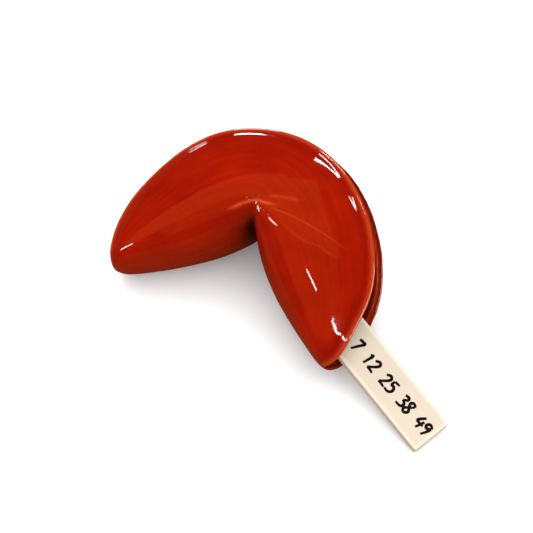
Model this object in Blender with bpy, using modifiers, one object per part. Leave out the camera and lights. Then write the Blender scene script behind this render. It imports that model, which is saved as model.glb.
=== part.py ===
"""Glazed ceramic fortune cookie with a message slip sliding out of one tip.

The cookie is one folded clay disc: a thin shell with an open rim, bent over a
crease into two legs. It lies on its lower layer on z = 0. The slip is a flat
clay tablet that lies in the right-hand mouth and comes down to the surface.

Units are metres, +Z is up. +Y points from the crease towards the middle of the
rim, and +X points to the leg that holds the slip.
"""

import math

import bmesh
import bpy
from mathutils import Euler, Matrix, Vector

# ---------------------------------------------------------------- cookie shape
RIM_RADIUS = 0.0568          # radius of the rim seen from above the fold plane
LEG_ANGLE = math.radians(116.9)  # from the rim's middle to each tip
RIM_REACH = 1.07             # the rim's middle is drawn out by this factor
CREASE_Y = 0.0183            # the pinch between the legs, from the rim's centre
CREASE_ROUND = 0.066         # how softly the fold line turns at the pinch
CREASE_POWER = 1.79          # how quickly the legs spread from the pinch
LEG_DROOP = 0.0048           # the tips hang below the middle by this much
DROOP_BALANCE = 0.3          # the middle rises by this share of the droop
RIM_WANDER = (               # where the hand-cut rim is fuller or flatter: angle, spread, share
    (math.radians(-70.0), math.radians(20.0), -0.028),
    (math.radians(42.0), math.radians(20.0), -0.018),
    (math.radians(82.0), math.radians(16.0), 0.020),
    (math.radians(112.0), math.radians(14.0), 0.024),
)
TIP_PULL = 0.0011            # each tip is worn back by this much, both ways
TIP_ROUND_FROM = 0.92        # where along a leg its tip begins to round off

# ---------------------------------------------------------------- cross-section
PINCH_LEAN = 0.0112          # the upper layer hangs over the pinch
PINCH_MIDDLE = 0.04          # along the crease
PINCH_SPREAD = 0.17
FOLD_HANDLE = 0.0398         # pull of the fold on each layer; the crest is half
FOLD_TAPER = 0.85            # how the fold thins out towards the tips
LOWER_BELLY = 1.064          # the lower layer is this much deeper
RIM_HALF_GAP = 0.0049        # half the thickness of the rim at its middle
TIP_HALF_GAP = 0.0062        # what the mouths at the tips add to it
MOUTH_TAPER = 0.35           # the layers close in over this share of a section
MOUTH_REACH = 0.62           # how far the tips' mouths reach along the rim
UPPER_TURN = math.radians(40.0)  # how steeply the upper layer comes to its rim
UPPER_TURN_LENGTH = 0.35
LOWER_TURN = math.radians(58.0)
LOWER_TURN_LENGTH = 0.62
LIP_SHIFT = Vector((0.0026, 0.0010, 0.0))  # the lower rim stands proud of the upper
UPPER_LAP = Vector((0.0018, -0.0003, 0.0))  # the upper rim laps over the mouth of the slip
UPPER_LAP_AT = 0.95
UPPER_LAP_WIDTH = 0.11
SLIP_MOUTH_DROP = 0.0037     # the lower lip gives way under the slip
SLIP_MOUTH_AT = 0.80
SLIP_MOUTH_WIDTH = 0.25
WALL = 0.0027
WALL_PER_DEPTH = 0.45        # near the tips the wall takes at most this share of the depth
WALL_PER_GAP = 0.7           # and this share of the height under its rim
THINNEST_WALL = 0.02         # share of the full wall left at the very tips

# ---------------------------------------------------------------- resting pose
PITCH = math.radians(14.5)   # the rim's middle rides higher than the tips
ROLL = math.radians(1.8)
FOOT_DEPTH = 0.0019          # clay worn flat where the cookie stands

# ---------------------------------------------------------------- message slip
SLIP_SIZE = Vector((0.0190, 0.0875, 0.0038))
SLIP_EDGE = 0.0007
SLIP_EDGE_STEPS = 3
SLIP_END = Vector((0.1021, -0.0241, 0.0))  # middle of its outer lower edge
SLIP_HEADING = math.radians(-111.3)
SLIP_SLOPE = math.radians(15.2)

# ---------------------------------------------------------------- mesh density
GRID = 22
NO_WIDTH = 1e-6              # a section narrower than this is a point
SMOOTHING = 1
CUTTER_SIZE = 0.30

# ---------------------------------------------------------------- finishes
GLAZE_COLOUR = (0.434, 0.014, 0.002)
GLAZE_ROUGHNESS = 0.08
CLAY_COLOUR = (0.90, 0.75, 0.57)
CLAY_ROUGHNESS = 0.55


def remove_everything():
    for item in list(bpy.data.objects):
        bpy.data.objects.remove(item, do_unlink=True)


def make_collection(name):
    collection = bpy.data.collections.new(name)
    bpy.context.scene.collection.children.link(collection)
    return collection


def make_material(name, colour, roughness, metallic):
    material = bpy.data.materials.new(name)
    material.use_nodes = True
    shader = material.node_tree.nodes["Principled BSDF"]
    shader.inputs["Base Color"].default_value = (*colour, 1.0)
    shader.inputs["Roughness"].default_value = roughness
    shader.inputs["Metallic"].default_value = metallic
    material.diffuse_color = (*colour, 1.0)
    return material


def bell(value, middle, spread):
    """1 at the middle, falling off smoothly on both sides."""
    return math.exp(-(((value - middle) / spread) ** 2))


def section_width(along):
    """Half width of the flat disc at this share of the way to a tip."""
    return math.sqrt(max(0.0, 1.0 - along * along))


def tip_pull(along):
    """How far a point near a tip is drawn back, so that the tip ends blunt."""
    share = max(0.0, (abs(along) - TIP_ROUND_FROM) / (1.0 - TIP_ROUND_FROM))
    angle = math.copysign(LEG_ANGLE, along)
    inward = Vector((-math.sin(angle), -math.cos(angle), 0.0))
    backward = Vector((-math.cos(angle), math.sin(angle), 0.0)) * math.copysign(1.0, along)
    return (inward + backward) * (TIP_PULL * share * share)


def fold_point(along):
    """The crease seen from above, from the left tip (-1) to the right tip (+1)."""
    tip = Vector((math.sin(LEG_ANGLE), math.cos(LEG_ANGLE), 0.0)) * RIM_RADIUS
    spread = math.hypot(along, CREASE_ROUND)
    full_spread = math.hypot(1.0, CREASE_ROUND)
    share = (spread - CREASE_ROUND) / (full_spread - CREASE_ROUND)
    x = tip.x * along * (spread / full_spread) ** (CREASE_POWER - 1.0)
    point = Vector((x, CREASE_Y + (tip.y - CREASE_Y) * share, 0.0))
    return point + tip_pull(along)


def rim_half_gap(along, lower):
    """Height of a layer's rim over the fold plane."""
    width = section_width(along)
    closing = min(1.0, width / MOUTH_TAPER)
    gap = RIM_HALF_GAP * closing
    gap += TIP_HALF_GAP * width * math.exp(-((width / MOUTH_REACH) ** 4))
    if lower:
        gap += SLIP_MOUTH_DROP * closing * bell(along, SLIP_MOUTH_AT, SLIP_MOUTH_WIDTH)
    return gap


def rim_point(along, lower):
    """The rim of one layer, with z as its height over the fold plane."""
    width = section_width(along)
    angle = LEG_ANGLE * along
    reach = RIM_REACH if math.cos(angle) > 0.0 else 1.0
    radius = RIM_RADIUS
    for middle, spread, share in RIM_WANDER:
        radius += RIM_RADIUS * share * bell(angle, middle, spread)
    point = Vector((radius * math.sin(angle), radius * reach * math.cos(angle), 0.0))
    if lower:
        point += LIP_SHIFT * width
    else:
        point += UPPER_LAP * bell(along, UPPER_LAP_AT, UPPER_LAP_WIDTH) * min(1.0, width / MOUTH_TAPER)
    point += tip_pull(along)
    point.z = rim_half_gap(along, lower)
    return point


def skin_point(along, across):
    """A point of the outer skin: across is -1 at the lower rim, 0 at the fold, 1 at the upper."""
    lower = across < 0.0
    fold = fold_point(along)
    rim = rim_point(along, lower)
    handle = FOLD_HANDLE * section_width(along) ** FOLD_TAPER
    if lower:
        handle *= LOWER_BELLY
    turn = LOWER_TURN if lower else UPPER_TURN
    turn_length = LOWER_TURN_LENGTH if lower else UPPER_TURN_LENGTH

    chord = Vector((rim.x - fold.x, rim.y - fold.y, 0.0))
    back = chord * (turn_length * math.cos(turn))
    control = rim - back
    control.z = rim.z + turn_length * chord.length * math.sin(turn)
    crest = fold + Vector((0.0, 0.0, handle))
    if not lower:
        crest.y -= PINCH_LEAN * bell(along, PINCH_MIDDLE, PINCH_SPREAD)

    step = abs(across)
    rest = 1.0 - step
    point = fold * rest**3 + crest * (3.0 * rest * rest * step)
    point += control * (3.0 * rest * step * step) + rim * step**3
    if lower:
        point.z = -point.z
    point.z += LEG_DROOP * (DROOP_BALANCE - along * along)
    return point


def wall_share(along, across):
    """Share of the full wall, thinner where the layers close in on each other at the tips."""
    fold = fold_point(along)
    rim = rim_point(along, across < 0.0)
    depth = math.hypot(rim.x - fold.x, rim.y - fold.y)
    room = min(WALL_PER_DEPTH * depth, WALL_PER_GAP * rim.z)
    return max(THINNEST_WALL, min(1.0, room / WALL))


def make_shell(collection, material):
    """One folded disc: a grid drawn out to a disc, folded, and given its wall."""
    attitude = Matrix.Rotation(-ROLL, 3, "Y") @ Matrix.Rotation(PITCH, 3, "X")
    sheet = bmesh.new()
    bmesh.ops.create_grid(sheet, x_segments=GRID, y_segments=GRID, size=1.0)
    weights = sheet.verts.layers.deform.verify()
    for vert in sheet.verts:
        u, v = vert.co.x, vert.co.y
        along = u * math.sqrt(1.0 - v * v / 2.0)
        width = section_width(along)
        across = v * math.sqrt(1.0 - u * u / 2.0) / width if width > NO_WIDTH else 0.0
        across = max(-1.0, min(1.0, across))
        vert.co = attitude @ skin_point(along, across)
        vert[weights][0] = wall_share(along, across)
    mesh = bpy.data.meshes.new("cookie_shell")
    sheet.to_mesh(mesh)
    sheet.free()
    mesh.shade_smooth()
    mesh.materials.append(material)

    shell = bpy.data.objects.new("cookie_shell", mesh)
    collection.objects.link(shell)
    shell.vertex_groups.new(name="wall")
    wall = shell.modifiers.new("wall", "SOLIDIFY")
    wall.thickness = WALL
    wall.offset = -1.0
    wall.vertex_group = "wall"
    rounding = shell.modifiers.new("rounding", "SUBSURF")
    rounding.levels = SMOOTHING
    rounding.render_levels = SMOOTHING
    return shell


def lowest_point(item):
    bpy.context.view_layer.update()
    evaluated = item.evaluated_get(bpy.context.evaluated_depsgraph_get())
    return min((item.matrix_world @ vert.co).z for vert in evaluated.data.vertices)


def stand_on_foot(shell, cutters):
    """Sink the shell by the depth of its foot and cut it off level at z = 0."""
    shell.location.z = -lowest_point(shell) - FOOT_DEPTH
    bpy.ops.mesh.primitive_cube_add(size=CUTTER_SIZE, location=(0.0, 0.0, -CUTTER_SIZE / 2.0))
    ground = bpy.context.object
    ground.name = "ground_cutter"
    ground.hide_render = True
    ground.display_type = "WIRE"
    for collection in list(ground.users_collection):
        collection.objects.unlink(ground)
    cutters.objects.link(ground)
    foot = shell.modifiers.new("foot", "BOOLEAN")
    foot.operation = "DIFFERENCE"
    foot.solver = "EXACT"
    foot.object = ground


def make_slip(collection, material):
    """A flat tablet whose outer end lies on the surface and whose inner end is in the mouth."""
    tablet = bmesh.new()
    bmesh.ops.create_cube(tablet, size=1.0)
    bmesh.ops.scale(tablet, vec=SLIP_SIZE, verts=tablet.verts)
    bmesh.ops.translate(tablet, vec=(0.0, -SLIP_SIZE.y / 2.0, SLIP_SIZE.z / 2.0), verts=tablet.verts)
    mesh = bpy.data.meshes.new("message_slip")
    tablet.to_mesh(mesh)
    tablet.free()
    mesh.materials.append(material)

    slip = bpy.data.objects.new("message_slip", mesh)
    collection.objects.link(slip)
    slip.location = SLIP_END
    slip.rotation_euler = Euler((-SLIP_SLOPE, 0.0, SLIP_HEADING), "XYZ")
    edge = slip.modifiers.new("edge", "BEVEL")
    edge.width = SLIP_EDGE
    edge.segments = SLIP_EDGE_STEPS
    edge.limit_method = "ANGLE"
    return slip


def bounds(items):
    bpy.context.view_layer.update()
    graph = bpy.context.evaluated_depsgraph_get()
    points = [
        item.matrix_world @ vert.co for item in items for vert in item.evaluated_get(graph).data.vertices
    ]
    low = Vector([min(point[axis] for point in points) for axis in range(3)])
    high = Vector([max(point[axis] for point in points) for axis in range(3)])
    return low, high


def main():
    remove_everything()
    pieces = make_collection("fortune_cookie")
    cutters = make_collection("cutters")
    glaze = make_material("red_glaze", GLAZE_COLOUR, GLAZE_ROUGHNESS, 0.0)
    clay = make_material("cream_clay", CLAY_COLOUR, CLAY_ROUGHNESS, 0.0)

    shell = make_shell(pieces, glaze)
    stand_on_foot(shell, cutters)
    slip = make_slip(pieces, clay)

    low, high = bounds([shell, slip])
    centre = bpy.data.objects.new("centre", None)
    pieces.objects.link(centre)
    shell.parent = centre
    slip.parent = centre
    centre.location = Vector((-(low.x + high.x) / 2.0, -(low.y + high.y) / 2.0, 0.0))


main()
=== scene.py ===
"""Looks for a glazed ceramic fortune cookie with a numbered clay slip in its mouth.

The cookie is one disc of clay, folded over a crease and glazed deep red. Its skin
is worked out from named sizes: each chord of the disc becomes a section that runs
from the lower rim over the fold to the upper rim. The slip is cream clay with plain
numbers brushed on it in black.

The file is laid out as an add-on and is run as a script. Sizes are in metres.
"""

import math

import bmesh
import bpy
from bpy.props import FloatProperty, FloatVectorProperty, IntProperty, PointerProperty
from mathutils import Euler, Matrix, Vector, noise


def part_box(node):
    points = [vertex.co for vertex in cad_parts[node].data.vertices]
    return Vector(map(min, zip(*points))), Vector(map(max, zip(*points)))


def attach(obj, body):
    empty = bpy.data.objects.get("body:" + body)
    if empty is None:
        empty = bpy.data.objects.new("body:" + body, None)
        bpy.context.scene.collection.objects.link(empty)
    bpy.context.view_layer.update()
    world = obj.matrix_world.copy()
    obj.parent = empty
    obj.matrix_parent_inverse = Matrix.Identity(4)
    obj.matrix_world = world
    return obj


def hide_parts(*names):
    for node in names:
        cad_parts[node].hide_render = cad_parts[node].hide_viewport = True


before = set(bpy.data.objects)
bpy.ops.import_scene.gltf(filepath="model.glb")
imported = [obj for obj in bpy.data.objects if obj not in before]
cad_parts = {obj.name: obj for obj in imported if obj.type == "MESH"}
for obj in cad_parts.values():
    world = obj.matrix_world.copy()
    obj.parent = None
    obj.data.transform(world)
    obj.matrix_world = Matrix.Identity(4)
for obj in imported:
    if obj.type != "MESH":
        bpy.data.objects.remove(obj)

bl_info = {
    "name": "Ceramic Fortune Cookie",
    "version": (1, 0, 0),
    "blender": (4, 5, 0),
    "location": "View3D > Sidebar > Cookie",
    "description": "Builds a glazed fortune cookie with a numbered slip, and its stage",
    "category": "Add Mesh",
}

SHELL_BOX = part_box("cookie_shell")
SLIP_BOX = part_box("message_slip")
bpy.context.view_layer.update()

MM = 0.001

# The clay disc. Each place on it has "along", -1 at the left tip to 1 at the right
# tip, and "across", -1 at the lower rim, 0 on the fold and 1 at the upper rim.

# Dents and bulges of the rim: the middle and the spread as angles, and the share
# of the rim's radius.
RIM_WANDER = (
    (math.radians(-70.0), math.radians(20.0), -0.028),
    (math.radians(42.0), math.radians(20.0), -0.018),
    (math.radians(82.0), math.radians(16.0), 0.020),
    (math.radians(112.0), math.radians(14.0), 0.024),
)
# How the tips are pinched in, and from where along the disc.
TIP_PULL = 0.0011
TIP_ROUND_FROM = 0.92
DROOP_BALANCE = 0.3
# The crease seen from above: how round the pinch is, and how it bends to the tips.
CREASE_ROUND = 0.066
CREASE_POWER = 1.79
# How the rim's gap closes at the tips, and how far the mouths reach.
MOUTH_TAPER = 0.35
MOUTH_REACH = 0.62
# Where each layer meets its rim: the angle, and the reach as a share of the section.
UPPER_TURN = (math.radians(40.0), 0.35)
LOWER_TURN = (math.radians(58.0), 0.62)
LIP_SHIFT = Vector((0.0026, 0.0010, 0.0))
# Middle and spread along the disc, and what is added there: the upper lip's lap
# over the slip, and the drop of the lower lip under it.
UPPER_LAP = (0.95, 0.11, Vector((0.0018, -0.0003, 0.0)))
SLIP_MOUTH = (0.80, 0.25, 0.0037)
# How far the fold of the upper layer leans forward at the pinch.
PINCH_LEAN = 0.0112
PINCH_MIDDLE = 0.04
PINCH_SPREAD = 0.17
# The wall thins where the layers come close: by the depth of a section and its gap.
WALL_PER_DEPTH = 0.45
WALL_PER_GAP = 0.7
THINNEST_WALL = 0.02
# Above 1, rows of faces crowd towards the rim.
RING_CROWDING = 1.6

# Handwork over the plain fold: noises as height and scale, the lip's bead and
# groove as height, distance from the rim and spread.
SOFT_WAVES = ((0.22 * MM, 38.0), (0.07 * MM, 110.0))
LIP_BEAD = (0.12 * MM, 1.8 * MM, 1.1 * MM)
LIP_GROOVE = (-0.07 * MM, 4.2 * MM, 1.2 * MM)
LOWER_LIP_RELIEF = 0.6
WRINKLES = (0.12 * MM, 450.0)
ROUGH_LIP = (0.16 * MM, 2.2 * MM)

# Where the glaze changes beside the rim: distance and spread.
LIP_PAINT = (1.5 * MM, 1.4 * MM)
GROOVE_PAINT = (4.8 * MM, 2.2 * MM)
LOWER_LIP_PAINT = 0.1
# Places at the pinch: middle and spread along, middle and spread across.
WRINKLE_SPOT = (0.03, 0.16, 0.32, 0.07)
CREST_SPOT = (0.0, 0.11, 0.345, 0.035)
# The next two set where shade is painted into the notch between the legs, and how dark it is.
NOTCH_SHADE_SPOT = (-0.02, 0.17, -0.02, 0.20)
NOTCH_SHADE_STRENGTH = 2.2

# The slip's turn, its rounded edge, and the share of its thickness that is side, where shade is
# painted.
SLIP_HEADING = math.radians(-111.3)
SLIP_SLOPE = math.radians(15.2)
SLIP_EDGE = 0.0009
SLIP_SIDE = 0.93
SLIP_WAVES = (0.07 * MM, 60.0)
NUMBERS_START = -0.0510
INK_LIFT = 0.02 * MM
INK_FLATNESS = 0.12


class CookieSizes(bpy.types.PropertyGroup):
    """Sizes of the folded clay disc."""

    rim_radius: FloatProperty(
        name="Rim radius",
        description="Radius of the rim seen from above",
        default=0.0568,
        unit="LENGTH",
    )
    rim_reach: FloatProperty(
        name="Rim reach",
        description="How far the middle of the rim is drawn out",
        default=1.07,
        subtype="FACTOR",
    )
    leg_angle: FloatProperty(
        name="Leg angle",
        description="Turn from the middle of the rim to a tip",
        default=math.radians(116.9),
        subtype="ANGLE",
    )
    crease: FloatProperty(
        name="Crease",
        description="Distance of the pinch from the rim's centre",
        default=0.0183,
        unit="LENGTH",
    )
    droop: FloatProperty(
        name="Droop",
        description="How far the tips hang below the middle",
        default=0.0048,
        unit="LENGTH",
    )
    fold_pull: FloatProperty(
        name="Fold pull",
        description="Pull of the fold on each layer",
        default=0.0398,
        unit="LENGTH",
    )
    fold_taper: FloatProperty(
        name="Fold taper",
        description="How the fold thins towards the tips",
        default=0.85,
        subtype="FACTOR",
    )
    lower_belly: FloatProperty(
        name="Lower belly",
        description="How much deeper the lower layer is",
        default=1.064,
        subtype="FACTOR",
    )
    rim_half_gap: FloatProperty(
        name="Rim half gap",
        description="Half the thickness of the rim at its middle",
        default=0.0049,
        unit="LENGTH",
    )
    tip_half_gap: FloatProperty(
        name="Tip half gap",
        description="What the mouths at the tips add to it",
        default=0.0062,
        unit="LENGTH",
    )
    wall: FloatProperty(
        name="Wall",
        description="Thickness of the clay",
        default=0.0027,
        unit="LENGTH",
    )
    pitch: FloatProperty(
        name="Pitch",
        description="How the rim rides up at its middle",
        default=math.radians(14.5),
        subtype="ANGLE",
    )
    roll: FloatProperty(
        name="Roll",
        description="How the cookie leans to one side",
        default=math.radians(1.8),
        subtype="ANGLE",
    )
    rows: IntProperty(
        name="Rows",
        description="Rows of faces across the disc",
        default=160,
        min=20,
        max=190,
    )


class SlipSizes(bpy.types.PropertyGroup):
    """Sizes of the clay slip and of the numbers on it."""

    size: FloatVectorProperty(
        name="Slip",
        description="Width, length and thickness",
        default=(0.0190, 0.0875, 0.0038),
        unit="LENGTH",
    )
    figure_height: FloatProperty(
        name="Figure height", description="Height of a number", default=0.0059, unit="LENGTH"
    )
    figure_pitch: FloatProperty(
        name="Figure pitch",
        description="Step from one figure to the next",
        default=0.00372,
        unit="LENGTH",
    )
    brush: FloatProperty(
        name="Brush",
        description="Half width of a brush stroke",
        default=0.00060,
        unit="LENGTH",
    )


class CookieColours(bpy.types.PropertyGroup):
    """Colours of the glaze, the clay, the ink and the floor."""

    glaze: FloatVectorProperty(
        name="Glaze",
        description="Body of the glaze",
        default=(0.262, 0.0068, 0.0001),
        subtype="COLOR",
    )
    glaze_deep: FloatVectorProperty(
        name="Deep glaze",
        description="Where the glaze pooled",
        default=(0.160, 0.0022, 0.0001),
        subtype="COLOR",
    )
    # Also the painted highlight along the ridges at the pinch.
    glaze_thin_and_sheen: FloatVectorProperty(
        name="Thin glaze",
        description="Where the glaze broke over an edge",
        default=(0.42, 0.046, 0.010),
        subtype="COLOR",
    )
    # Also the colour of the painted glint beside the pinch; the pinholes also stand in for small
    # glints there.
    pinholes_and_glint: FloatVectorProperty(
        name="Bare specks",
        description="Pinholes in the glaze at the pinch",
        default=(0.80, 0.66, 0.55),
        subtype="COLOR",
    )
    clay: FloatVectorProperty(
        name="Clay", description="Body of the slip", default=(0.510, 0.432, 0.335), subtype="COLOR"
    )
    # Painted shade on the slip's sides, browner than its top.
    clay_side_shade: FloatVectorProperty(
        name="Clay side",
        description="Cut sides of the slip",
        default=(0.44, 0.335, 0.230),
        subtype="COLOR",
    )
    # A painted highlight along the slip's rounded edges.
    clay_edge_highlight: FloatVectorProperty(
        name="Worn clay",
        description="Edges of the slip",
        default=(0.690, 0.620, 0.530),
        subtype="COLOR",
    )
    ink: FloatVectorProperty(
        name="Ink", description="Brushed numbers", default=(0.003, 0.003, 0.0035), subtype="COLOR"
    )
    floor: FloatVectorProperty(
        name="Floor",
        description="Paper under the cookie",
        default=(0.85, 0.85, 0.85),
        subtype="COLOR",
    )


# ---------------------------------------------------------------- shader maths
class Value:
    """A number socket that takes part in Python arithmetic."""

    def __init__(self, shader, socket):
        self.shader = shader
        self.socket = socket

    def math(self, operation, *values):
        inputs = dict(enumerate((self, *values)))
        return self.shader.node("ShaderNodeMath", {"operation": operation}, inputs)

    def __add__(self, other):
        return self.math("ADD", other)

    __radd__ = __add__

    def __sub__(self, other):
        return self.math("SUBTRACT", other)

    def __rsub__(self, other):
        return self * -1.0 + other

    def __mul__(self, other):
        return self.math("MULTIPLY", other)

    __rmul__ = __mul__

    def clamped(self):
        return self.math("MAXIMUM", 0.0).math("MINIMUM", 1.0)


class Ridge:
    """A line of handwork over the skin, between two places along and across the disc.

    It sags beside the straight line, fades within its spread, stands up by a height
    in mm and thins the glaze by a share. The paler thin glaze along it is partly a
    painted highlight.
    """

    def __init__(self, start, end, sag, spread, height, thin):
        self.start = start
        self.end = end
        self.sag = sag
        self.spread = spread
        self.height = height
        self.thin = thin

    def value(self, along, across):
        """1 on the middle of the line, falling to 0 beside it and past its ends."""
        share = (along - self.start[0]) * (1.0 / (self.end[0] - self.start[0]))
        middle = share * (self.end[1] - self.start[1]) + self.start[1]
        middle = middle + share * (1.0 - share) * (4.0 * self.sag)
        offset = (across - middle) * (1.0 / self.spread)
        inside = (share * 4.0 + 0.6).clamped() * (4.6 - share * 4.0).clamped()
        return (offset * offset * -1.0).math("EXPONENT") * inside


# The crest, a streak above it and a sweep line: relief, with a painted highlight along each.
RIDGES = (
    Ridge((-0.25, 0.318), (0.13, 0.430), -0.026, 0.015, 0.34, 1.0),
    Ridge((0.08, 0.465), (0.22, 0.570), 0.0, 0.015, 0.14, 0.36),
    Ridge((0.152, 0.405), (0.473, 0.709), -0.037, 0.007, 0.08, 0.36),
)
# A painted highlight: a short pale streak beside the pinch that stands in for a glint.
PAINTED_GLINT = Ridge((0.203, 0.350), (0.279, 0.371), -0.004, 0.0045, 0.10, 0.9)


class Shader:
    """A material or world whose nodes are added one call at a time."""

    def __init__(self, owner, surface="Principled BSDF"):
        self.owner = owner
        owner.use_nodes = True
        self.tree = owner.node_tree
        self.surface = self.tree.nodes[surface]

    def node(self, kind, settings, inputs, output=0):
        item = self.tree.nodes.new(kind)
        for name, value in settings.items():
            if name == "stops":
                self.set_stops(item, value)
            else:
                setattr(item, name, value)
        for name, value in inputs.items():
            self.feed(item.inputs[name], value)
        return Value(self, item.outputs[output])

    def set_stops(self, ramp, stops):
        elements = ramp.color_ramp.elements
        for place, shade in stops[2:]:
            elements.new(place)
        for element, (place, shade) in zip(elements, stops):
            element.position = place
            element.color = (shade, shade, shade, 1.0)

    def feed(self, socket, value):
        if isinstance(value, Value):
            self.tree.links.new(value.socket, socket)
        elif socket.type == "RGBA" and len(value) == 3:
            socket.default_value = (*value, 1.0)
        else:
            socket.default_value = value

    def set(self, name, value):
        self.feed(self.surface.inputs[name], value)

    def place(self):
        return self.node("ShaderNodeTexCoord", {}, {}, "Object")

    def attribute(self, name, output="Fac"):
        return self.node("ShaderNodeAttribute", {"attribute_name": name}, {}, output)

    def noise(self, where, scale, detail=2.0, roughness=0.5, distortion=0.0):
        inputs = {
            "Vector": where,
            "Scale": scale,
            "Detail": detail,
            "Roughness": roughness,
            "Distortion": distortion,
        }
        return self.node("ShaderNodeTexNoise", {}, inputs)

    def ramp(self, value, *stops):
        return self.node("ShaderNodeValToRGB", {"stops": stops}, {"Fac": value})

    def mix(self, factor, first, second):
        settings = {"data_type": "RGBA", "clamp_factor": True}
        return self.node("ShaderNodeMix", settings, {0: factor, 6: first, 7: second}, 2)

    def stretched(self, where, stretch):
        settings = {"operation": "MULTIPLY"}
        return self.node("ShaderNodeVectorMath", settings, {0: where, 1: stretch})

    def ray(self, kind):
        """1 where the ray that looks is of this kind."""
        return self.node("ShaderNodeLightPath", {}, {}, kind)

    def bump(self, height, strength, distance):
        inputs = {"Height": height, "Strength": strength, "Distance": distance}
        self.set("Normal", self.node("ShaderNodeBump", {}, inputs))


# ---------------------------------------------------------------- the folded disc
class FoldedDisc:
    """The skin of the cookie, from the sizes in the panel."""

    def __init__(self, sizes):
        self.radius = sizes.rim_radius
        self.reach = sizes.rim_reach
        self.leg = sizes.leg_angle
        self.crease = sizes.crease
        self.droop = sizes.droop
        self.pull = sizes.fold_pull
        self.taper = sizes.fold_taper
        self.belly = sizes.lower_belly
        self.half_gap = sizes.rim_half_gap
        self.tip_gap = sizes.tip_half_gap
        self.wall = sizes.wall
        self.attitude = Matrix.Rotation(-sizes.roll, 3, "Y") @ Matrix.Rotation(sizes.pitch, 3, "X")

    def width(self, along):
        return math.sqrt(max(0.0, 1.0 - along * along))

    def tip_pull(self, along):
        share = max(0.0, (abs(along) - TIP_ROUND_FROM) / (1.0 - TIP_ROUND_FROM))
        angle = math.copysign(self.leg, along)
        side = math.copysign(1.0, along)
        inward = Vector((-math.sin(angle), -math.cos(angle), 0.0))
        backward = Vector((-math.cos(angle), math.sin(angle), 0.0)) * side
        return (inward + backward) * (TIP_PULL * share * share)

    def fold(self, along):
        tip_x = math.sin(self.leg) * self.radius
        tip_y = math.cos(self.leg) * self.radius
        spread = math.hypot(along, CREASE_ROUND)
        full = math.hypot(1.0, CREASE_ROUND)
        share = (spread - CREASE_ROUND) / (full - CREASE_ROUND)
        x = tip_x * along * (spread / full) ** (CREASE_POWER - 1.0)
        return Vector((x, self.crease + (tip_y - self.crease) * share, 0.0)) + self.tip_pull(along)

    def rim(self, along, lower):
        width = self.width(along)
        angle = self.leg * along
        reach = self.reach if math.cos(angle) > 0.0 else 1.0
        radius = self.radius
        for middle, spread, share in RIM_WANDER:
            radius += self.radius * share * bell(angle, middle, spread)
        point = Vector((math.sin(angle), reach * math.cos(angle), 0.0)) * radius
        closing = min(1.0, width / MOUTH_TAPER)
        gap = self.half_gap * closing
        gap += self.tip_gap * width * math.exp(-((width / MOUTH_REACH) ** 4))
        if lower:
            point += LIP_SHIFT * width
            middle, spread, drop = SLIP_MOUTH
            gap += drop * closing * bell(along, middle, spread)
        else:
            middle, spread, lap = UPPER_LAP
            point += lap * bell(along, middle, spread) * closing
        point += self.tip_pull(along)
        point.z = gap
        return point

    def skin(self, along, across):
        lower = across < 0.0
        fold = self.fold(along)
        rim = self.rim(along, lower)
        handle = self.pull * self.width(along) ** self.taper * (self.belly if lower else 1.0)
        turn, reach = LOWER_TURN if lower else UPPER_TURN
        chord = Vector((rim.x - fold.x, rim.y - fold.y, 0.0))
        control = rim - chord * (reach * math.cos(turn))
        control.z = rim.z + reach * chord.length * math.sin(turn)
        crest = fold + Vector((0.0, 0.0, handle))
        if not lower:
            crest.y -= PINCH_LEAN * bell(along, PINCH_MIDDLE, PINCH_SPREAD)
        step = abs(across)
        rest = 1.0 - step
        point = fold * rest**3 + crest * (3.0 * rest * rest * step)
        point += control * (3.0 * rest * step * step) + rim * step**3
        if lower:
            point.z = -point.z
        point.z += self.droop * (DROOP_BALANCE - along * along)
        return self.attitude @ point

    def wall_share(self, along, across):
        fold = self.fold(along)
        rim = self.rim(along, across < 0.0)
        depth = math.hypot(rim.x - fold.x, rim.y - fold.y)
        room = min(WALL_PER_DEPTH * depth, WALL_PER_GAP * rim.z)
        return max(THINNEST_WALL, min(1.0, room / self.wall))

    def to_rim(self, along, across):
        """About the distance over the skin to the nearer rim."""
        side = -1.0 if across < 0.0 else 1.0
        section = (self.skin(along, side) - self.skin(along, 0.0)).length
        bulge = 1.1
        return (1.0 - abs(across)) * section * bulge


def bell(value, middle, spread):
    """1 at the middle, falling to 0 beyond the spread."""
    return math.exp(-(((value - middle) / spread) ** 2))


def spot(along, across, place):
    """1 at a place on the disc, falling to 0 around it."""
    return bell(along, place[0], place[1]) * bell(across, place[2], place[3])


def link_piece(name, mesh, material):
    mesh.materials.clear()
    mesh.materials.append(material)
    piece = bpy.data.objects.new(name, mesh)
    bpy.context.scene.collection.objects.link(piece)
    return piece


def finished_mesh(piece):
    """The mesh of a piece with its modifiers or its curve's bevel applied."""
    depsgraph = bpy.context.evaluated_depsgraph_get()
    return bpy.data.meshes.new_from_object(piece.evaluated_get(depsgraph))


def place_on_disc(vert, crowding):
    """Turns a point of the square grid into its place along and across the disc."""
    u, v = vert.co.x, vert.co.y
    x = u * math.sqrt(1.0 - v * v / 2.0)
    y = v * math.sqrt(1.0 - u * u / 2.0)
    ring = min(1.0, math.hypot(x, y))
    if ring > 0.0:
        stretch = (1.0 - (1.0 - ring) ** crowding) / ring
        x *= stretch
        y *= stretch
    width = math.sqrt(max(0.0, 1.0 - x * x))
    across = y / width if width > 1e-6 else 0.0
    return x, max(-1.0, min(1.0, across))


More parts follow.
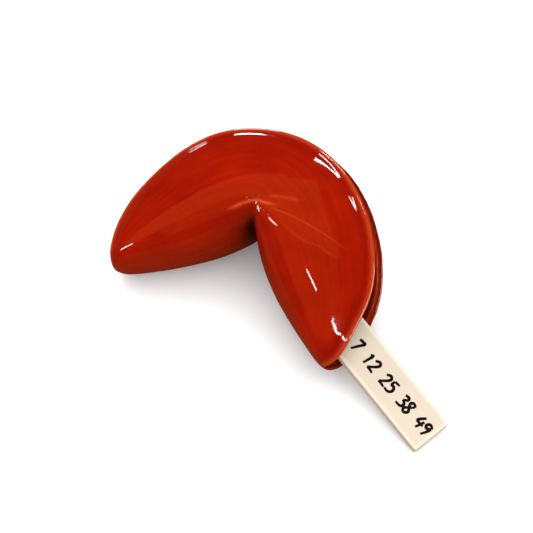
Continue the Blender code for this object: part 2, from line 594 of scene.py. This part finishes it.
def relief(point, along, across, rim_distance):
    """Height of the handwork over the plain fold: soft waves, a rolled lip and its groove."""
    height = sum(depth * noise.noise(point * scale) for depth, scale in SOFT_WAVES)
    lip_side = 1.0 if across > 0.0 else LOWER_LIP_RELIEF
    for depth, distance, spread in (LIP_BEAD, LIP_GROOVE):
        height += depth * lip_side * bell(rim_distance, distance, spread)
    wrinkles = spot(along, across, WRINKLE_SPOT)
    height += WRINKLES[0] * wrinkles * noise.noise(point * WRINKLES[1])
    if across < 0.0:
        rough = noise.noise(point * 420.0) + 0.6 * noise.noise(point * 900.0)
        height += ROUGH_LIP[0] * rough * bell(rim_distance, 0.0, ROUGH_LIP[1])
    return height


def skin_mesh(disc, rows):
    """The outer skin as an open mesh, with the wall's share and the glaze's places on it."""
    sheet = bmesh.new()
    bmesh.ops.create_grid(sheet, x_segments=rows, y_segments=rows, size=1.0)
    weights = sheet.verts.layers.deform.verify()
    lip = sheet.verts.layers.float.new("lip")
    groove = sheet.verts.layers.float.new("groove")
    sweep = sheet.verts.layers.float_vector.new("sweep")
    pit = sheet.verts.layers.float.new("pit")
    crest = sheet.verts.layers.float.new("crest")
    places = []
    for vert in sheet.verts:
        along, across = place_on_disc(vert, RING_CROWDING)
        rim_distance = disc.to_rim(along, across)
        places.append((along, across, rim_distance))
        vert.co = disc.skin(along, across)
        vert[lip] = bell(rim_distance, *LIP_PAINT)
        vert[groove] = bell(rim_distance, *GROOVE_PAINT)
        vert[sweep] = Vector((along, across, 0.0))
        vert[crest] = spot(along, across, CREST_SPOT)
        # Painted shade in the notch between the legs.
        vert[pit] = min(1.0, NOTCH_SHADE_STRENGTH * spot(along, across, NOTCH_SHADE_SPOT))
    sheet.normal_update()
    moves = []
    for vert, (along, across, rim_distance) in zip(sheet.verts, places):
        share = disc.wall_share(along, across)
        nose = 0.5 * disc.wall * share
        inside = min(1.0, rim_distance / max(nose, 1e-9))
        profile = math.sqrt(max(0.0, 1.0 - (1.0 - inside) ** 2))
        vert[weights][0] = max(0.1 * share, share * profile)
        height = relief(vert.co, along, across, rim_distance) * share
        moves.append(vert.normal * (height - nose * (1.0 - profile)))
    for vert, move in zip(sheet.verts, moves):
        vert.co += move
    mesh = bpy.data.meshes.new("skin")
    sheet.to_mesh(mesh)
    sheet.free()
    return mesh


def fit_to_box(mesh, low, high):
    """Brings the shell to its place: its plan fills the box, and their tops meet."""
    points = [vert.co for vert in mesh.vertices]
    own_low = Vector([min(point[axis] for point in points) for axis in range(3)])
    own_high = Vector([max(point[axis] for point in points) for axis in range(3)])
    wanted, own = high - low, own_high - own_low
    scale = Vector((wanted.x / own.x, wanted.y / own.y, 1.0))
    scale.z = (scale.x + scale.y) / 2.0
    for vert in mesh.vertices:
        vert.co.x = low.x + (vert.co.x - own_low.x) * scale.x
        vert.co.y = low.y + (vert.co.y - own_low.y) * scale.y
        vert.co.z = max(0.0, high.z + (vert.co.z - own_high.z) * scale.z)


def glaze_material(colours):
    """Red glaze that pools in its brush strokes and breaks thin over edges and ridges, with painted
    highlights along the ridges, a painted glint by the pinch and painted shade in the notch.
    """
    shader = Shader(bpy.data.materials.new("red_glaze"))
    place = shader.place()
    sweep = shader.attribute("sweep", "Vector")
    along = shader.node("ShaderNodeSeparateXYZ", {}, {"Vector": sweep}, "X")
    across = shader.node("ShaderNodeSeparateXYZ", {}, {"Vector": sweep}, "Y")
    broad = shader.noise(place, 55.0, 3.0, 0.55)
    fine = shader.noise(place, 420.0, 2.0, 0.6)
    strokes = shader.noise(shader.stretched(sweep, (2.2, 34.0, 1.0)), 1.0, 3.0, 0.5, 0.2)
    bristles = shader.noise(shader.stretched(sweep, (3.0, 150.0, 1.0)), 1.0, 2.0, 0.6, 0.1)
    pooled = shader.ramp(broad * 0.5 + strokes * 0.3 + bristles * 0.2, (0.36, 0.0), (0.64, 1.0))
    body = shader.mix(pooled * 0.8, colours.glaze, colours.glaze_deep)
    body = shader.mix(shader.attribute("groove") * (0.15 + fine * 0.9), body, colours.glaze_deep)
    edge = (shader.attribute("lip") * (0.35 + fine * 0.9)).clamped()
    body = shader.mix(edge * 0.8, body, colours.glaze_thin_and_sheen)
    height = broad * 0.03 + fine * 0.0075
    # The paler glaze along each ridge is partly a painted highlight.
    for ridge in RIDGES:
        line = ridge.value(along, across)
        body = shader.mix((line * (0.4 + fine)) * ridge.thin, body, colours.glaze_thin_and_sheen)
        height = height + line * ridge.height
    # Pale pinholes at the crest, which also stand in for its small glints, and the painted glint
    # beside the pinch.
    pinholes = shader.ramp(shader.noise(place, 800.0, 1.0), (0.68, 0.0), (0.72, 1.0))
    pinholes_and_glint = pinholes * shader.attribute("crest") + PAINTED_GLINT.value(along, across) * PAINTED_GLINT.thin
    body = shader.mix(pinholes_and_glint.clamped(), body, colours.pinholes_and_glint)
    # Painted shade in the notch: the glaze goes nearly black there.
    shadowed = [channel * 0.12 for channel in colours.glaze_deep]
    body = shader.mix(shader.attribute("pit") * 0.97, body, shadowed)
    shader.set("Base Color", body)
    shader.set("Roughness", 0.03 + fine * 0.03)
    shader.bump(height, 1.0, MM)
    return shader.owner


def clay_material(colours):
    """Cream clay with a fine grain, a painted highlight along its edges and darker tan painted shade
    on its sides.
    """
    shader = Shader(bpy.data.materials.new("cream_clay"))
    place = shader.place()
    broad = shader.noise(place, 60.0, 3.0, 0.55)
    grain = shader.noise(place, 900.0, 3.0, 0.65)
    specks = shader.ramp(shader.noise(place, 1500.0, 1.0, 0.5), (0.70, 0.0), (0.78, 1.0))
    shade = [channel * 0.93 for channel in colours.clay]
    body = shader.mix(shader.ramp(broad, (0.3, 0.0), (0.7, 1.0)), colours.clay, shade)
    # Painted highlight along the edges.
    body = shader.mix(shader.attribute("worn") * 0.8, body, colours.clay_edge_highlight)
    # Painted shade on the sides.
    body = shader.mix(shader.attribute("side") * 0.85, body, colours.clay_side_shade)
    body = shader.mix(specks * 0.12, body, [channel * 0.55 for channel in colours.clay])
    shader.set("Base Color", body)
    shader.set("Roughness", 0.45 + grain * 0.25)
    shader.bump(grain + broad * 0.5, 0.12, 0.0003)
    return shader.owner


def ink_material(colours):
    """Black ink, a little thinner where the brush ran dry."""
    shader = Shader(bpy.data.materials.new("black_ink"))
    place = shader.place()
    load = shader.noise(place, 700.0, 2.0, 0.6)
    dry = [channel * 3.0 for channel in colours.ink]
    thin = shader.ramp(load, (0.55, 0.0), (0.75, 1.0)) * 0.5
    shader.set("Base Color", shader.mix(thin, colours.ink, dry))
    shader.set("Roughness", 0.32 + load * 0.2)
    shader.set("Specular IOR Level", 0.05)
    shader.bump(load, 0.1, 0.0002)
    return shader.owner


# ---------------------------------------------------------------- the slip
FIGURES = {
    "1": [[(0.16, 0.76), (0.34, 1.0), (0.31, 0.5), (0.28, 0.0)]],
    "2": [
        [(0.05, 0.76), (0.24, 1.02), (0.56, 0.84), (0.38, 0.42), (0.04, 0.04)],
        [(0.04, 0.04), (0.3, 0.08), (0.6, 0.0)],
    ],
    "3": [
        [(0.08, 0.9), (0.36, 1.04), (0.54, 0.76), (0.22, 0.56)],
        [(0.22, 0.56), (0.62, 0.44), (0.48, 0.0), (0.03, 0.06)],
    ],
    "4": [
        [(0.34, 1.0), (0.12, 0.66), (0.03, 0.4), (0.3, 0.38), (0.64, 0.42)],
        [(0.48, 0.7), (0.44, 0.35), (0.38, -0.04)],
    ],
    "5": [
        [(0.14, 0.94), (0.09, 0.56), (0.42, 0.66), (0.62, 0.3), (0.34, -0.02), (0.02, 0.08)],
        [(0.14, 0.95), (0.56, 1.0)],
    ],
    "7": [[(0.04, 0.92), (0.3, 0.95), (0.6, 1.0), (0.38, 0.5), (0.22, -0.04)]],
    "8": [
        [
            (0.54, 0.86), (0.3, 1.06), (0.05, 0.82), (0.3, 0.52), (0.56, 0.24),
            (0.3, -0.06), (0.03, 0.2), (0.3, 0.52), (0.52, 0.84),
        ]
    ],
    "9": [
        [
            (0.54, 0.8), (0.28, 1.04), (0.03, 0.74), (0.26, 0.48),
            (0.52, 0.78), (0.5, 0.4), (0.36, -0.06),
        ]
    ],
}
NUMBERS = "7 12 25 38 49"


def slip_matrix(size):
    """Lays the slip down: its outer end near the floor, its inner end in the mouth."""
    turn = Euler((-SLIP_SLOPE, 0.0, SLIP_HEADING), "XYZ").to_matrix().to_4x4()
    low, high = SLIP_BOX
    to_middle = Matrix.Translation((0.0, size[1] / 2.0, -size[2] / 2.0))
    return Matrix.Translation((low + high) / 2.0) @ turn @ to_middle


def slip_relief(x, y):
    """Height of the soft waves in the slip's face."""
    return SLIP_WAVES[0] * noise.noise(Vector((x, y, 0.0)) * SLIP_WAVES[1])


def edges_along(tablet, axis, size):
    """The edges that run most of the tablet's size on this axis."""
    return [
        edge for edge in tablet.edges
        if abs(edge.verts[0].co[axis] - edge.verts[1].co[axis]) > size[axis] / 2.0
    ]


def slip_mesh(size):
    tablet = bmesh.new()
    bmesh.ops.create_cube(tablet, size=1.0)
    bmesh.ops.scale(tablet, vec=size, verts=tablet.verts)
    bmesh.ops.translate(tablet, vec=(0.0, -size[1] / 2.0, size[2] / 2.0), verts=tablet.verts)
    long_edges = edges_along(tablet, 1, size)
    bmesh.ops.subdivide_edges(tablet, edges=long_edges, cuts=44, use_grid_fill=True)
    wide_edges = edges_along(tablet, 0, size)
    bmesh.ops.subdivide_edges(tablet, edges=wide_edges, cuts=9, use_grid_fill=True)
    worn = tablet.verts.layers.float.new("worn")
    side = tablet.verts.layers.float.new("side")
    # The edges get a painted highlight.
    corners = [edge for edge in tablet.edges if edge.calc_face_angle(0.0) > 1.0]
    for edge in corners:
        for vert in edge.verts:
            vert[worn] = 1.0
    bmesh.ops.bevel(
        tablet,
        geom=corners,
        offset=SLIP_EDGE,
        offset_type="OFFSET",
        affect="EDGES",
        segments=5,
        profile=0.5,
        material=-1,
        clamp_overlap=True,
    )
    for vert in tablet.verts:
        x, y, z = vert.co
        # Below the top, the sides get painted shade.
        vert[side] = 1.0 if z < SLIP_SIDE * size[2] else 0.0
        vert.co.x += 0.10 * MM * noise.noise(Vector((3.0, y * 70.0, 0.0))) * (2.0 * x / size[0])
        vert.co.z += slip_relief(x, y) * (1.0 if z > size[2] / 2.0 else 0.3)
    mesh = bpy.data.meshes.new("message_slip")
    tablet.to_mesh(mesh)
    tablet.free()
    mesh.transform(slip_matrix(size))
    mesh.shade_smooth()
    return mesh


def add_stroke(curve, points):
    """One pull of the brush: fuller in its middle and thin where it lifts."""
    spline = curve.splines.new("NURBS")
    spline.points.add(len(points) - 1)
    last = len(points) - 1
    for index, (point, target) in enumerate(zip(points, spline.points)):
        target.co = (*point, 0.0, 1.0)
        swell = math.sin(math.pi * (0.25 + 0.6 * index / last))
        target.radius = 0.55 + 0.6 * swell
    spline.use_endpoint_u = True
    spline.order_u = 3
    spline.resolution_u = 8


def numbers_mesh(size, sizes):
    curve = bpy.data.curves.new("figures", "CURVE")
    curve.dimensions = "3D"
    curve.bevel_depth = sizes.brush
    curve.bevel_resolution = 2
    curve.use_fill_caps = True
    for index, figure in enumerate(NUMBERS):
        for stroke in FIGURES.get(figure, []):
            wander = 0.35 * MM * noise.noise(Vector((index * 1.7, 4.0, 0.0)))
            lean = 0.10 + 0.05 * noise.noise(Vector((index * 2.3, 9.0, 0.0)))
            points = []
            for x, y in stroke:
                forward = NUMBERS_START + index * sizes.figure_pitch
                forward += (x + lean * y) * sizes.figure_height
                upward = (y - 0.5) * sizes.figure_height + wander
                points.append((-upward, forward))
            add_stroke(curve, points)
    brushed = bpy.data.objects.new("figures", curve)
    bpy.context.scene.collection.objects.link(brushed)
    bpy.context.view_layer.update()
    mesh = finished_mesh(brushed)
    bpy.data.objects.remove(brushed, do_unlink=True)
    for vert in mesh.vertices:
        x, y, z = vert.co
        vert.co.z = size[2] + slip_relief(x, y) + INK_LIFT + z * INK_FLATNESS
    mesh.transform(slip_matrix(size))
    mesh.shade_smooth()
    return mesh


# ---------------------------------------------------------------- operators
class COOKIE_OT_shell(bpy.types.Operator):
    """Fold the clay disc into the glazed shell"""

    bl_idname = "cookie.shell"
    bl_label = "Glazed Shell"

    def execute(self, context):
        sizes = context.scene.cookie_sizes
        disc = FoldedDisc(sizes)
        skin = skin_mesh(disc, sizes.rows)
        outer = len(skin.vertices)
        piece = link_piece("glazed_shell", skin, glaze_material(context.scene.cookie_colours))
        piece.vertex_groups.new(name="wall")
        wall = piece.modifiers.new("wall", "SOLIDIFY")
        wall.thickness = sizes.wall
        wall.offset = -1.0
        wall.vertex_group = "wall"
        context.view_layer.update()
        solid = finished_mesh(piece)
        piece.modifiers.clear()
        piece.vertex_groups.clear()
        piece.data = solid
        lip, sweep = solid.attributes["lip"].data, solid.attributes["sweep"].data
        for edge, place in zip(lip[:outer], sweep[:outer]):
            if place.vector.y < 0.0:
                edge.value *= LOWER_LIP_PAINT
        # The painted notch shade and the crest's specks are kept off the inner wall.
        for name in ("pit", "crest"):
            for hidden in solid.attributes[name].data[outer:]:
                hidden.value = 0.0
        fit_to_box(solid, *SHELL_BOX)
        solid.shade_smooth()
        solid.name = "glazed_shell"
        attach(piece, "root")
        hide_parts("cookie_shell")
        return {"FINISHED"}


class COOKIE_OT_slip(bpy.types.Operator):
    """Lay the clay slip in the mouth"""

    bl_idname = "cookie.slip"
    bl_label = "Clay Slip"

    def execute(self, context):
        size = tuple(context.scene.slip_sizes.size)
        piece = link_piece("clay_slip", slip_mesh(size), clay_material(context.scene.cookie_colours))
        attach(piece, "root")
        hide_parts("message_slip")
        return {"FINISHED"}


class COOKIE_OT_numbers(bpy.types.Operator):
    """Brush the plain numbers on the slip"""

    bl_idname = "cookie.numbers"
    bl_label = "Brushed Numbers"

    def execute(self, context):
        sizes = context.scene.slip_sizes
        mesh = numbers_mesh(tuple(sizes.size), sizes)
        piece = link_piece("slip_numbers", mesh, ink_material(context.scene.cookie_colours))
        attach(piece, "root")
        return {"FINISHED"}


# ---------------------------------------------------------------- the stage
RIM_CENTRE = Vector((-0.02521, -0.01330, 0.02175))
VIEW_AZIMUTH = math.radians(28.25)
VIEW_ELEVATION = math.radians(62.0)
VIEW_SHIFT = (0.01071, -0.00021)
VIEW_DISTANCE = 0.9326
LENS = 150.0

FLOOR_SIZE = 3.0
FLOOR_DROP = 0.0002
# The large soft box: azimuth, elevation, distance, size and radiance.
KEY_BOX = (345.0, 68.0, 1.5, 1.6, 1.8)
SOFT_LIGHT = 1.55
GLAZE_ROOM = 0.02
FLOOR_IN_GLAZE = (0.20, 0.05, 0.014)
FLOOR_BOUNCE = (0.50, 0.45, 0.42)
CEILING_TURN = math.radians(36.9)
CEILING_HEIGHT = 1.2
CEILING_TINT = (1.0, 0.27, 0.045)
PANE_RADIANCE = 30.0

# Panes that shape the glaze's reflections: azimuth and elevation in degrees at both
# ends, and the breadth in degrees.
PANES = (
    ("pane_right_leg", (138, 75), (123, 68), 1.7),
    ("pane_right_tip", (103, 46), (94, 30), 0.8),
    ("pane_rim_right", (354, 27), (11, 24), 2.4),
    ("pane_rim_side", (23, 27), (31, 27), 1.7),
    ("pane_rim_top", (319, 3), (335, 9), 2.4),
    ("pane_rim_left", (301, 0), (308, 1), 0.9),
    ("pane_left_tip", (233, 30), (243, 14), 3.0),
    ("pane_low_right", (50, 8), (88, 8), 5.0),
)
# Parts of the ceiling: two corners as shares of its height, and the radiance.
CEILING = (
    ("ceiling_far", (-3.0, -0.03), (0.78, 0.9), 0.75),
    ("ceiling_near", (-1.0, -1.0), (0.75, -0.06), 0.35),
    ("ceiling_seam", (-0.4, -0.055), (0.78, -0.035), 1.8),
)


def view_axes():
    sin_az, cos_az = math.sin(VIEW_AZIMUTH), math.cos(VIEW_AZIMUTH)
    sin_el, cos_el = math.sin(VIEW_ELEVATION), math.cos(VIEW_ELEVATION)
    right = Vector((cos_az, sin_az, 0.0))
    back = Vector((sin_az * cos_el, -cos_az * cos_el, sin_el))
    return right, back.cross(right), back


def add_camera():
    right, up, back = view_axes()
    target = RIM_CENTRE + right * VIEW_SHIFT[0] + up * VIEW_SHIFT[1]
    data = bpy.data.cameras.new("view")
    data.lens = LENS
    data.clip_end = 20.0
    camera = bpy.data.objects.new("view", data)
    turn = Matrix((right, up, back)).transposed().to_4x4()
    camera.matrix_world = Matrix.Translation(target + back * VIEW_DISTANCE) @ turn
    bpy.context.scene.collection.objects.link(camera)
    bpy.context.scene.camera = camera


def sky_direction(azimuth, elevation):
    """Unit vector to a place in the room. Azimuth 0 is behind the cookie, 90 on its right."""
    azimuth, elevation = math.radians(azimuth), math.radians(elevation)
    level = math.cos(elevation)
    return Vector((math.sin(azimuth) * level, math.cos(azimuth) * level, math.sin(elevation)))


def area_light(name, place, back, upward, size, radiance, tint=(1.0, 1.0, 1.0)):
    """A rectangle that shines against the way its back points."""
    data = bpy.data.lights.new(name, "AREA")
    data.shape = "RECTANGLE"
    data.size, data.size_y = size
    data.energy = radiance * math.pi * size[0] * size[1]
    data.color = tint
    light = bpy.data.objects.new(name, data)
    bpy.context.scene.collection.objects.link(light)
    up = (upward - back * upward.dot(back)).normalized()
    turn = Matrix((up.cross(back), up, back)).transposed().to_4x4()
    light.matrix_world = Matrix.Translation(place) @ turn
    light.visible_camera = False
    return light


def add_key(azimuth, elevation, distance, size, radiance):
    """A large soft box that lights the clay but doesn't show in the glaze."""
    back = sky_direction(azimuth, elevation)
    light = area_light("key", back * distance, back, Vector((0.0, 0.0, 1.0)), (size, size), radiance)
    light.visible_glossy = False


def add_pane(name, start, end, breadth, radiance):
    """A window pane that shows in the glaze only, from one place in the room to another."""
    first, last = sky_direction(*start), sky_direction(*end)
    middle = (first + last).normalized()
    size = (math.radians(breadth), (last - first).length)
    light = area_light(name, middle, middle, last - first, size, radiance)
    light.visible_diffuse = False


def add_ceiling(name, low, high, radiance):
    """A warm part of the ceiling that shows in the glaze only, between two corners on it."""
    along = Vector((math.cos(CEILING_TURN), math.sin(CEILING_TURN), 0.0))
    upward = Vector((-along.y, along.x, 0.0))
    size = [(high[axis] - low[axis]) * CEILING_HEIGHT for axis in range(2)]
    middle = [(high[axis] + low[axis]) / 2.0 * CEILING_HEIGHT for axis in range(2)]
    back = Vector((0.0, 0.0, 1.0))
    place = along * middle[0] + upward * middle[1] + back * CEILING_HEIGHT
    light = area_light(name, place, back, upward, size, radiance, CEILING_TINT)
    light.visible_diffuse = False


def floor_material(colours):
    shader = Shader(bpy.data.materials.new("floor_paper"))
    tone = shader.noise(shader.place(), 8.0, 2.0)
    shade = [channel * 0.985 for channel in colours.floor]
    paper = shader.mix(tone, colours.floor, shade)
    paper = shader.mix(shader.ray("Is Diffuse Ray"), paper, FLOOR_BOUNCE)
    shader.set("Base Color", shader.mix(shader.ray("Is Glossy Ray"), paper, FLOOR_IN_GLAZE))
    shader.set("Roughness", 0.8)
    shader.set("Specular IOR Level", 0.1)
    return shader.owner


def set_world():
    """Pale to look at and as soft light, but nearly dark in the glaze."""
    world = bpy.data.worlds.new("room")
    bpy.context.scene.world = world
    shader = Shader(world, "Background")
    shader.set("Color", (1.0, 1.0, 1.0))
    shader.set("Strength", SOFT_LIGHT - shader.ray("Is Glossy Ray") * (SOFT_LIGHT - GLAZE_ROOM))


class COOKIE_OT_stage(bpy.types.Operator):
    """Set up the floor, the soft boxes and the camera"""

    bl_idname = "cookie.stage"
    bl_label = "Stage"

    def execute(self, context):
        floor = bmesh.new()
        bmesh.ops.create_grid(floor, x_segments=2, y_segments=2, size=FLOOR_SIZE)
        bmesh.ops.translate(floor, vec=(0.0, 0.0, -FLOOR_DROP), verts=floor.verts)
        mesh = bpy.data.meshes.new("floor")
        floor.to_mesh(mesh)
        floor.free()
        piece = link_piece("floor", mesh, floor_material(context.scene.cookie_colours))
        set_world()
        add_key(*KEY_BOX)
        for pane in PANES:
            add_pane(*pane, PANE_RADIANCE)
        for part in CEILING:
            add_ceiling(*part)
        add_camera()
        context.scene.view_settings.view_transform = "Standard"
        return {"FINISHED"}


class COOKIE_PT_panel(bpy.types.Panel):
    """Lists the pieces of the cookie and their sizes"""

    bl_idname = "COOKIE_PT_panel"
    bl_label = "Fortune Cookie"
    bl_space_type = "VIEW_3D"
    bl_region_type = "UI"
    bl_category = "Cookie"

    def draw(self, context):
        for operator in STEPS:
            self.layout.operator(operator.bl_idname)
        for group_name in GROUPS:
            group = getattr(context.scene, group_name)
            box = self.layout.box()
            for name in group.__annotations__:
                box.prop(group, name)


GROUPS = {"cookie_sizes": CookieSizes, "slip_sizes": SlipSizes, "cookie_colours": CookieColours}
STEPS = (COOKIE_OT_shell, COOKIE_OT_slip, COOKIE_OT_numbers, COOKIE_OT_stage)


def register():
    for group in GROUPS.values():
        bpy.utils.register_class(group)
    for name, group in GROUPS.items():
        setattr(bpy.types.Scene, name, PointerProperty(type=group))
    for step in (*STEPS, COOKIE_PT_panel):
        bpy.utils.register_class(step)


def unregister():
    for step in reversed((*STEPS, COOKIE_PT_panel)):
        bpy.utils.unregister_class(step)
    for name in GROUPS:
        delattr(bpy.types.Scene, name)
    for group in reversed(list(GROUPS.values())):
        bpy.utils.unregister_class(group)


def main():
    register()
    bpy.ops.cookie.shell()
    bpy.ops.cookie.slip()
    bpy.ops.cookie.numbers()
    bpy.ops.cookie.stage()


if __name__ == "__main__":
    main()
